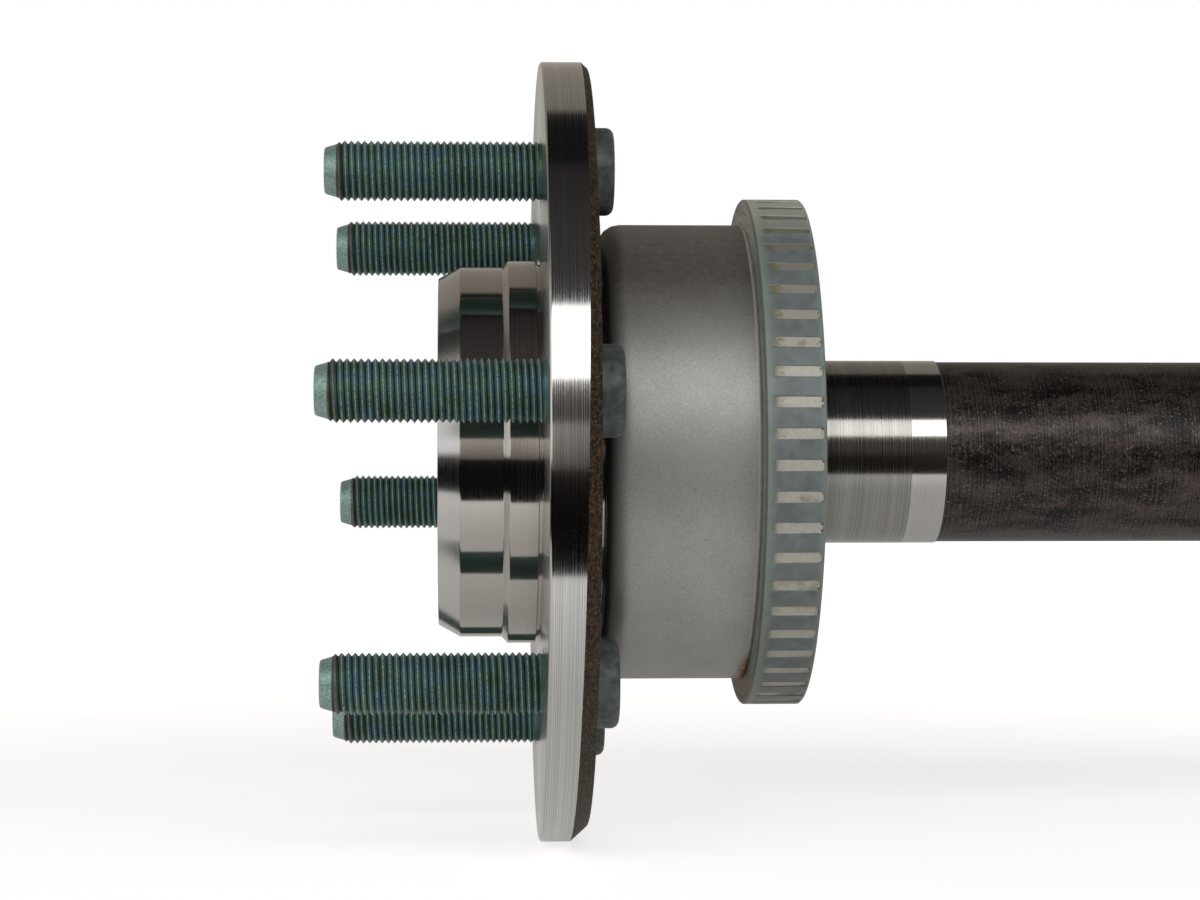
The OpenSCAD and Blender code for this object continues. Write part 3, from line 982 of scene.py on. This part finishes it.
cup_outline = [
    (collar_x, SEAT_R, 0, 0),
    (cup_x, SEAT_R, EDGE, 0),
    (cup_x, cup_r, CUP_ROUND, 0),
    (ring_low.x, cup_r, JOGGLE, 0),
    (ring_low.x, seat_r, FINE_EDGE, 0),
    (cup_high.x, seat_r, EDGE, 0),
    (cup_high.x, inner_r - JOGGLE, EDGE, 0),
    (ring_low.x, inner_r - JOGGLE, EDGE, 0),
    (ring_low.x - JOGGLE, inner_r, EDGE, 0),
    (floor_x, inner_r, CUP_ROUND - SHEET_T, 0),
    (floor_x, SEAT_R + SHEET_T, EDGE, 0),
    (collar_x, SEAT_R + SHEET_T, EDGE, 0),
    (collar_x, SEAT_R, 0, 0),
]
cup_mesh = wrap("cup", CUP_COLUMNS, lambda height: cup_outline, [cup_sheet])
cup = show("cup", weld("cup", [cup_mesh]))
dress(cup, "tone_ring_carrier")


# %% [markdown]
# ## The signal ring
#
# A sensor beside this ring counts the pockets that pass. The ring is a greenish grey, rough
# moulded body, and in each of its 54 shallow pockets lies a pale bar of bare metal. One sector
# with one pocket is a grid: its rows run round the ring's section and its columns across the
# sector, packed closer where the pocket's walls are. The distance to the pocket's outline, a
# rectangle with two round corners, gives both the depth and a painted mark of where the floor is.

# %% Pocket shape
POCKET_COUNT = 54
POCKET_W, POCKET_ROUND, POCKET_SQUARE = 2.5, 0.7, 0.15
POCKET_LAND, POCKET_RIM = 1.9, 0.6
POCKET_DEEP, POCKET_SHALLOW = 0.4, 0.15
WALL = 0.12
ring_x, ring_end = ring_low.x, ring_high.x
pocket_start = ring_x + POCKET_LAND
pocket_end = ring_end - POCKET_RIM
pocket_middle = (pocket_start + pocket_end) / 2
half_w = POCKET_W / 2


def pocket_gap(x, s):
    """Distance outside the pocket's outline, in millimetres, below zero inside it."""
    round_r = POCKET_ROUND if x > pocket_middle else POCKET_SQUARE
    dx = abs(x - pocket_middle) - (pocket_end - pocket_start) / 2 + round_r
    ds = abs(s) - half_w + round_r
    return math.hypot(max(dx, 0), max(ds, 0)) + min(max(dx, ds), 0) - round_r


def smooth(value, low, high):
    """A soft step from 0 at low to 1 at high."""
    t = min(max((value - low) / (high - low), 0), 1)
    return t * t * (3 - 2 * t)


def pocket_depth(x):
    """The floor's depth, which grows from the square end to the round one."""
    share = (x - pocket_start) / (pocket_end - pocket_start)
    return POCKET_SHALLOW + (POCKET_DEEP - POCKET_SHALLOW) * share


print(f"pocket {pocket_end - pocket_start:.1f} mm long, {POCKET_W} mm wide")


# %% [markdown]
# Now the places of the grid's lines. Round each wall they come as multiples of the wall's half
# width, and on the wide flat parts a few are enough.

# %% Ring sector
RING_CHAMFER = 0.4
LAND_ROW, SIDE_ROW, CORNER_ROW = 0.9, 2.5, 0.1
FLOOR_COLUMN, LAND_COLUMNS = 0.4, (0.8, 1.5)
FLOOR_START, FLOOR_END, FLOOR_STEPS = 0.7, 0.8, 8
LAND, RING_SIDE, RING_BORE = range(3)

half_sector = math.pi / POCKET_COUNT * ring_r
side_places = [0.0, half_w * FLOOR_COLUMN]
side_places += [half_w + WALL * k for k in (-3, -1, -0.5, 0, 0.5, 1, 2.5)]
side_places += [*(half_w + step for step in LAND_COLUMNS), half_sector]
columns = [-s for s in side_places[:0:-1]] + side_places

floor_low, floor_high = pocket_start + FLOOR_START, pocket_end - FLOOR_END
top_places = [ring_x + RING_CHAMFER, ring_x + LAND_ROW]
top_places += [pocket_start + WALL * k for k in (-2, -1, -0.5, 0, 0.5, 1, 3)]
top_places += [floor_low + (floor_high - floor_low) * k / FLOOR_STEPS for k in range(FLOOR_STEPS)]
top_places += [pocket_end + WALL * k for k in (-6, -4.5, -3, -2, -1, -0.5, 0, 0.5, 1)]
top_places += [ring_end - RING_CHAMFER]
edge_r = ring_r - RING_CHAMFER
section = [
    (ring_x, seat_r, RING_SIDE), (ring_x, ring_r - SIDE_ROW, RING_SIDE),
    (ring_x, edge_r - CORNER_ROW, RING_SIDE), (ring_x, edge_r, LAND)]
section += [(x, ring_r, LAND) for x in top_places]
section += [
    (ring_end, edge_r, RING_SIDE), (ring_end, ring_r - SIDE_ROW, RING_SIDE),
    (ring_end, seat_r, RING_BORE), (ring_x, seat_r, RING_BORE)]

sector_rows, floor_marks = [], []
for x, r, finish in section:
    row = []
    for s in columns:
        gap = pocket_gap(x, s) if r == ring_r else 1.0
        depth = pocket_depth(x) * smooth(-gap, -WALL, WALL)
        turn = s / ring_r
        row.append(Vector((x, -(r - depth) * math.cos(turn), (r - depth) * math.sin(turn))) * MM)
        floor_marks.append(smooth(-gap, -WALL / 2, WALL))
    sector_rows.append(row)
print("ring sector:", len(section), "rows,", len(columns), "columns")


# %% [markdown]
# The ring's finish reads that painted mark. The moulded body is a dull blue-green grey with
# soft clouds, greener along both edges and dusty on top, and a dark line of painted shade runs
# along the edge towards the flange. The bars are bare and cream coloured. They fade out at their
# square ends, where oil has stained them yellow, are brown in places, are painted darker over the
# top of the ring as shade, and some have a black spot painted at their round end. The mark's edge
# is roughened with noise, so the bars look ragged as the real ones do.

# %% Moulded ring
def moulded_ring():
    """Green-grey moulded body with pale sintered bars in its pockets."""
    material, tree, place = fresh("Moulded ring with sintered bars")
    mark = node(tree, "ShaderNodeAttribute", attribute_name="pocket_floor").outputs["Fac"]
    height = node(tree, "ShaderNodeSeparateXYZ", [place]).outputs[UP]
    rag, patches, clouds, fine = [
        node(tree, "ShaderNodeTexNoise", {"Vector": place, "Scale": 1 / (size * MM), "Detail": detail})
        for size, detail in ((0.8, 3), (4.5, 3), (3.5, 4), (0.45, 2))]
    by_place = fades(tree, place, {
        "left edge": (ALONG, ring_x + 2.6, ring_x + 0.8, 0.55),
        "right edge": (ALONG, ring_end - 1.6, ring_end - 0.5, 0.5),
        "crown": (UP, 0.8 * ring_r, ring_r, 0.9),
        # Painted shade: a dark line along the edge next to the cup.
        "edge shade line": (ALONG, ring_x + 0.6, ring_x + 0.3, 0.6),
        "bar": (ALONG, pocket_start - 0.6, pocket_start + 1.5, 1.0),
        # Painted shade: the bars are painted darker over the top of the ring.
        "brown": (UP, 0.32 * ring_r, 0.8 * ring_r, 0.85),
        "square end": (ALONG, pocket_start + 5.0, pocket_start + 1.0, 1.0),
        "round end": (ALONG, pocket_end - 2.2, pocket_end - 0.5, 1.0),
    })
    cloudy = node(tree, "ShaderNodeMapRange", [clouds, 0.3, 0.7])
    body = coats(tree, "#6b7675", [
        (cloudy, "#838c8c"), (by_place["left edge"], "#9dab9d"), (by_place["right edge"], "#93a393"),
        (by_place["crown"], "#d3d5c6"), (by_place["edge shade line"], "#4c524c")])

    speck = node(tree, "ShaderNodeMapRange", [fine, 0.3, 0.6])
    stained = node(tree, "ShaderNodeMapRange", [patches, 0.56, 0.78])
    oiliest = node(tree, "ShaderNodeMapRange", [height, 0.0, 0.5 * ring_r * MM, 0.2, 0.75])
    oily = node(tree, "ShaderNodeMath", [by_place["square end"], rag], operation="MULTIPLY")
    oily = node(tree, "ShaderNodeMapRange", [oily, 0.25, 0.5, 0.0, oiliest])
    # A black spot is painted at the round end of some bars.
    round_end_spots = node(tree, "ShaderNodeMath", [by_place["round end"], rag], operation="MULTIPLY")
    round_end_spots = node(tree, "ShaderNodeMapRange", [round_end_spots, 0.56, 0.66])
    cream = coats(tree, "#c0bdb1", [
        (speck, "#d0cdc3"), (stained, "#8d8058"), (by_place["brown"], "#807d6c"), (oily, "#7d7745"),
        (round_end_spots, "#2a261e")])

    bar = node(tree, "ShaderNodeMath", [mark, by_place["bar"]], operation="MULTIPLY")
    bar = node(tree, "ShaderNodeMath", [rag, 0.5, bar], operation="MULTIPLY_ADD")
    bar = node(tree, "ShaderNodeMapRange", [bar, 0.6, 1.05])
    metal = node(tree, "ShaderNodeMath", [bar, 0.25], operation="MULTIPLY")
    rough = node(tree, "ShaderNodeMapRange", [bar, 0.0, 1.0, 0.42, 0.55])
    bump = node(tree, "ShaderNodeBump", {"Height": fine, "Strength": 0.35, "Distance": 0.06 * MM})
    return shade(material, "ShaderNodeBsdfPrincipled", {
        "Base Color": coats(tree, body, [(bar, cream)]), "Metallic": metal, "Roughness": rough,
        "Normal": bump})


ring_body = moulded_ring()
print("moulded ring has", len(ring_body.node_tree.nodes), "nodes")


# %% [markdown]
# The ring's side towards the flange is open to the weather: pale streaks of lime run down it at
# the top, dirt sits in spots all over, and it is rusty at the bottom, where water stood. Its
# other side is clean but for a little dirt.

# %% Ring side
RUN_DOWN = (1, 1, 0.35)


def ring_side():
    """The ring's sides. The one towards the flange is streaked over the top and rusty at the bottom."""
    material, tree, place = fresh("Ring side, streaked and stained")
    flow = node(tree, "ShaderNodeVectorMath", [place, RUN_DOWN], operation="MULTIPLY")
    streaks, dirt, rust = [
        node(tree, "ShaderNodeTexNoise", {"Vector": spot, "Scale": 1 / (size * MM), "Detail": detail})
        for spot, size, detail in ((flow, 0.6, 3), (flow, 0.9, 4), (place, 0.7, 3))]
    by_place = fades(tree, place, {
        "exposed": (ALONG, ring_x + 1.0, ring_x, 1.0),
        "high": (UP, 0.7 * ring_r, 0.85 * ring_r, 1.0),
        "low": (UP, -0.6 * ring_r, -0.9 * ring_r, 1.0),
    })
    limed = node(tree, "ShaderNodeMapRange", [streaks, 0.38, 0.56])
    for limit in (by_place["high"], by_place["exposed"]):
        limed = node(tree, "ShaderNodeMath", [limed, limit], operation="MULTIPLY")
    dirtiest = node(tree, "ShaderNodeMapRange", [by_place["exposed"], 0.0, 1.0, 0.2, 0.75])
    dirty = node(tree, "ShaderNodeMapRange", [dirt, 0.56, 0.66, 0.0, dirtiest])
    for limit in (by_place["low"], by_place["exposed"]):
        rust = node(tree, "ShaderNodeMath", [rust, limit], operation="MULTIPLY")
    rusty = node(tree, "ShaderNodeMapRange", [rust, 0.42, 0.52])
    bump = node(tree, "ShaderNodeBump", {"Height": streaks, "Strength": 0.5, "Distance": 0.1 * MM})
    return shade(material, "ShaderNodeBsdfPrincipled", {
        "Base Color": coats(tree, "#a3ada2", [(limed, "#fffbf0"), (dirty, "#4b473d"), (rusty, "#8a6434")]),
        "Roughness": 0.55, "Normal": bump})


side_finish = ring_side()
print("ring side has", len(side_finish.node_tree.nodes), "nodes")


# %% [markdown]
# With both finishes made, the sector is repeated round the axle, and turned so that its pockets
# stand where the solid's do.

# %% Signal ring
POCKET_PHASE = math.radians(2.8)
ring_finishes = [ring_body, side_finish, side_finish]
sector_mesh = sheet_mesh("ring_sector", sector_rows, [finish for _, _, finish in section], ring_finishes)
sector_mesh.attributes.new("pocket_floor", "FLOAT", "POINT").data.foreach_set("value", floor_marks)
ring_mesh = run_tree("signal_ring", sector_mesh, repeat, {
    "Count": POCKET_COUNT, "Phase": POCKET_PHASE, "Slot": LAND, "Finish": ring_body})
signal_ring = show("signal_ring", weld("signal_ring", [ring_mesh]))
dress(signal_ring, "tone_ring")


# %% [markdown]
# ## The wheel studs
#
# Each stud is cold headed and its thread is rolled, 1.5 mm to the turn. A thread follows a
# rule, so Geometry Nodes make it: a flat grid is wrapped round the stud with its rows sheared
# by one pitch a turn, so that each row stays on one height of the thread. The crests and roots
# are then true lines and not staircases. Rows that run past the thread's ends are clamped to
# the end circles, where merging by distance closes them. The tip and the head are turned, and
# they are the tree's input.

# %% Thread tree
THREAD_PITCH = 1.5
THREAD_TURNS = 30.5
ROWS_PER_PITCH = 8
STUD_COLUMNS = 64

lengths = ("Start", "Pitch", "Turns", "Root radius", "Crest radius", "Blank radius", "Phase")
thread, given = geometry_tree(
    "Rolled thread", {**dict.fromkeys(lengths, "Float"), "Centre": "Vector", "Finish": "Material"})
spans = node(thread, "ShaderNodeMath", [given["Turns"], 1.0])
row_count = node(thread, "ShaderNodeMath", [spans, ROWS_PER_PITCH, 1.0], operation="MULTIPLY_ADD")
grid = node(thread, "GeometryNodeMeshGrid", {
    "Size X": 1.0, "Size Y": 1.0, "Vertices X": row_count, "Vertices Y": STUD_COLUMNS + 1})
spot = node(thread, "ShaderNodeSeparateXYZ", [node(thread, "GeometryNodeInputPosition")]).outputs
row_share, turn_share = [node(thread, "ShaderNodeMath", [spot[axis], 0.5]) for axis in (0, 1)]
row_pitch = node(thread, "ShaderNodeMath", [row_share, spans, -1.0], operation="MULTIPLY_ADD")
sheared = node(thread, "ShaderNodeMath", [row_pitch, turn_share])
along = node(thread, "ShaderNodeClamp", [sheared, 0.0, given["Turns"]])

wave = node(thread, "ShaderNodeMath", [row_pitch, 0.5], operation="PINGPONG")
crest = node(thread, "ShaderNodeMath", [wave, 2.0], operation="MULTIPLY")
full = node(thread, "ShaderNodeMapRange", [crest, 0.0, 1.0, given["Root radius"], given["Crest radius"]])
print("thread grid:", int((THREAD_TURNS + 1) * ROWS_PER_PITCH + 1), "rows,", STUD_COLUMNS + 1, "columns")

# %% [markdown]
# At the tip the thread starts out of a steep chamfer, so the radius is limited there. At the
# flange it runs out into the plain blank over about a third of a turn. How high each point sits
# on the thread is stored with it, for the finish to read.

# %% Thread ends
LEAD_SLOPE = 0.8
RUN_OUT_TURNS = 0.3

lead = node(thread, "ShaderNodeMath", [given["Pitch"], LEAD_SLOPE], operation="MULTIPLY")
limit = node(thread, "ShaderNodeMath", [along, lead, given["Root radius"]], operation="MULTIPLY_ADD")
cut_back = node(thread, "ShaderNodeMath", [full, limit], operation="MINIMUM")
left = node(thread, "ShaderNodeMath", [given["Turns"], along], operation="SUBTRACT")
radius = node(thread, "ShaderNodeMapRange", [left, 0.0, RUN_OUT_TURNS, given["Blank radius"], cut_back])
angle = node(thread, "ShaderNodeMath", [turn_share, 2 * math.pi], operation="MULTIPLY")
x = node(thread, "ShaderNodeMath", [along, given["Pitch"], given["Start"]], operation="MULTIPLY_ADD")
cosine, sine = [node(thread, "ShaderNodeMath", [angle], operation=kind) for kind in ("COSINE", "SINE")]
y, z = [node(thread, "ShaderNodeMath", [radius, part], operation="MULTIPLY") for part in (cosine, sine)]
place = node(thread, "ShaderNodeCombineXYZ", [x, y, z])
marked = node(thread, "GeometryNodeStoreNamedAttribute", {"Geometry": grid, "Name": "crest", "Value": crest})
rolled = node(thread, "GeometryNodeSetPosition", {"Geometry": marked, "Position": place})
whole = node(thread, "GeometryNodeJoinGeometry", [[rolled, given["Geometry"]]])
merged = node(thread, "GeometryNodeMergeByDistance", {"Geometry": whole, "Distance": WELD})
spin = node(thread, "ShaderNodeCombineXYZ", [given["Phase"]])
set_in = node(thread, "GeometryNodeTransform", {
    "Geometry": merged, "Translation": given["Centre"], "Rotation": spin})
real = node(thread, "GeometryNodeRealizeInstances", [set_in])
coated = node(thread, "GeometryNodeSetMaterial", {"Geometry": real, "Material": given["Finish"]})
node(thread, "NodeGroupOutput", [coated])
print("thread tree has", len(thread.nodes), "nodes")


# %% [markdown]
# The studs wear a thin dark coat between blue, green and olive. The thread's roots are painted
# dark as shade, and along the crests the coat is rubbed off in thin broken lines that are painted
# light as highlights too; the finish finds both by the stored height. The tip's cone is paler, the
# first turn is stained brown, and the head, which the press ram touched, is a dull mottled grey.

# %% Coated stud steel
LEAD_CONE = 2.8
thread_start = stud_low.x + LEAD_CONE
thread_end = thread_start + THREAD_TURNS * THREAD_PITCH


def coated_steel():
    """Dark green zinc-flake coat on a rolled thread: dull, a little metallic, with painted shade in the roots
    and bare crests painted light as highlights.
    """
    material, tree, place = fresh("Green zinc-flake coat")
    height = node(tree, "ShaderNodeAttribute", attribute_name="crest").outputs["Fac"]
    hues, aged, scuffs, blots = [
        node(tree, "ShaderNodeTexNoise", {"Vector": place, "Scale": 1 / (size * MM), "Detail": 3})
        for size in (3, 6, 0.5, 2.4)]
    by_place = fades(tree, place, {
        "collar": (ALONG, thread_end - 0.4, thread_end, 1.0),
        "first turn": (ALONG, thread_start + 2.2, thread_start + 1.0, 0.75),
        "cone": (ALONG, thread_start + 0.1, thread_start - 0.1, 1.0),
        "head": (ALONG, 0.0, 0.5, 1.0),
    })
    hue = node(tree, "ShaderNodeMapRange", [hues, 0.38, 0.62])
    olive = node(tree, "ShaderNodeMapRange", [aged, 0.46, 0.68, 0.0, 0.6])
    # Painted shade: the thread's roots are painted dark, and the coat shows higher up the flanks.
    clear_of_root_shade = node(tree, "ShaderNodeMapRange", [height, 0.0, 0.36, by_place["collar"], 1.0])
    # Coat rubbed off along the crests, and painted light there as a highlight too.
    crest_wear_and_glint = node(tree, "ShaderNodeMath", [scuffs, 0.7, height], operation="MULTIPLY_ADD")
    rubbed_and_highlight = node(tree, "ShaderNodeMapRange", [crest_wear_and_glint, 1.16, 1.34])
    scuffed = node(tree, "ShaderNodeMapRange", [scuffs, 0.3, 0.7])
    mottled = node(tree, "ShaderNodeMapRange", [blots, 0.35, 0.68])

    coat = coats(tree, "#608593", [(hue, "#6c907d"), (olive, "#4c5a3f")])
    pale_tip = coats(tree, "#7a9a94", [(scuffed, "#b6cfc8")])
    dull_head = coats(tree, "#4a5250", [(mottled, "#6a7470")])
    # The dark ground stands for painted shade in the thread's roots.
    colour = coats(tree, "#222d2b", [
        (clear_of_root_shade, coat), (rubbed_and_highlight, "#c3dacf"), (by_place["first turn"], "#51463f"), (by_place["cone"], pale_tip),
        (by_place["head"], dull_head)])
    metal = node(tree, "ShaderNodeMapRange", [by_place["head"], 0.0, 1.0, 0.5, 0.25])
    rough = node(tree, "ShaderNodeMapRange", [scuffs, 0.3, 0.7, 0.38, 0.58])
    bump = node(tree, "ShaderNodeBump", {"Height": scuffs, "Strength": 0.3, "Distance": 0.03 * MM})
    return shade(material, "ShaderNodeBsdfPrincipled", {
        "Base Color": colour, "Metallic": metal, "Roughness": rough, "Normal": bump})


stud_coat = coated_steel()
print(f"thread runs from {thread_start:.2f} to {thread_end:.2f} mm")


# %% [markdown]
# A stud's tip and head are turned once, and the thread is rolled between them on each stud. The
# six studs were pressed in as they came, so each thread starts at its own angle.

# %% Studs
CREST_R, ROOT_DEPTH, BLANK_R = 6.88, 0.84, 6.4
TIP_R, TIP_EDGE = 5.2, 0.5
HEAD_ROUND, HEAD_EDGE = 1.8, 0.3
START_ANGLES = (20, 200, 110, 290, 60, 150)
root_r = CREST_R - ROOT_DEPTH
head_r = max(stud_high.y - stud_low.y, stud_high.z - stud_low.z) / 2
tip_x, head_x = stud_low.x, stud_high.x

tip_outline = [(tip_x, 0, 0, 0), (tip_x, TIP_R, TIP_EDGE, 0), (thread_start, root_r, 0, 0)]
head_outline = [
    (thread_end, BLANK_R, 0, 0),
    (0, BLANK_R, 0, 0),
    (0, SHANK_R, FINE_EDGE, 0),
    (FLANGE_T, SHANK_R, FINE_EDGE, 0),
    (FLANGE_T, head_r, HEAD_EDGE, 0),
    (head_x, head_r, HEAD_ROUND, 0),
    (head_x, 0, 0, 0),
]
tip_mesh = wrap("stud_tip", STUD_COLUMNS, lambda height: tip_outline, [stud_coat])
head_mesh = wrap("stud_head", STUD_COLUMNS, lambda height: head_outline, [stud_coat])
stud_blank = weld("stud_blank", [tip_mesh, head_mesh])
thread_sizes = {
    "Start": thread_start * MM, "Pitch": THREAD_PITCH * MM, "Turns": THREAD_TURNS, "Root radius": root_r * MM,
    "Crest radius": CREST_R * MM, "Blank radius": BLANK_R * MM, "Finish": stud_coat}

for k, (name, start_angle) in enumerate(zip(STUD_NODES, START_ANGLES), 1):
    centre = (0.0, stud_places[name].y * MM, stud_places[name].z * MM)
    rolled_mesh = run_tree(name + "_blank", stud_blank, thread, {
        **thread_sizes, "Phase": math.radians(start_angle), "Centre": centre})
    stud = show(f"stud_{k}", weld(f"stud_{k}", [rolled_mesh]))
    dress(stud, name)
